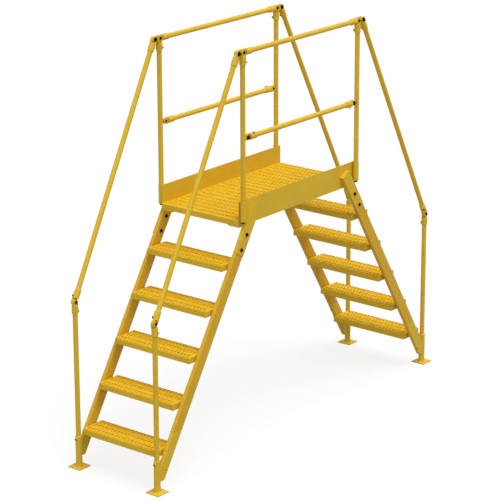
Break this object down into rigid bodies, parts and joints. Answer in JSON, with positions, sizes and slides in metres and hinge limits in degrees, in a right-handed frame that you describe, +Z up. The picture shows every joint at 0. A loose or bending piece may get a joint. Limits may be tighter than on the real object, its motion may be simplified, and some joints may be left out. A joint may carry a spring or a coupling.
{
  "type": "crossover platform",
  "caption": "Yellow powder-coated steel crossover platform: steep flights of channel treads up to a raised deck from both ends, with toe boards and pipe handrails.",
  "frame": {"origin": "on the floor, below the middle of the deck", "axes": "+X along the crossing, +Y across the walkway, +Z up"},
  "size_m": [2.9418, 0.742, 2.6005],
  "materials": {
    "powder_coat": "satin"
  },
  "bodies": {
    "root": {"deck": "powder_coat", "feet": "powder_coat", "lower_post_left_far": "powder_coat", "lower_post_left_near": "powder_coat", "lower_post_right_far": "powder_coat", "lower_post_right_near": "powder_coat", "midrail_far": "powder_coat", "midrail_near": "powder_coat", "platform_post_left_far": "powder_coat", "platform_post_left_near": "powder_coat", "platform_post_right_far": "powder_coat", "platform_post_right_near": "powder_coat", "post_sleeves": "powder_coat", "side_plate_far": "powder_coat", "side_plate_near": "powder_coat", "sloping_rail_left_far": "powder_coat", "sloping_rail_left_near": "powder_coat", "sloping_rail_right_far": "powder_coat", "sloping_rail_right_near": "powder_coat", "stringer_left_far": "powder_coat", "stringer_left_near": "powder_coat", "stringer_right_far": "powder_coat", "stringer_right_near": "powder_coat", "stringer_stubs_left": "powder_coat", "stringer_stubs_right": "powder_coat", "top_rail_far": "powder_coat", "top_rail_near": "powder_coat", "tread_left_1": "powder_coat", "tread_left_2": "powder_coat", "tread_left_3": "powder_coat", "tread_left_4": "powder_coat", "tread_left_5": "powder_coat", "tread_right_1": "powder_coat", "tread_right_2": "powder_coat", "tread_right_3": "powder_coat", "tread_right_4": "powder_coat", "tread_right_5": "powder_coat"}
  },
  "joints": []
}
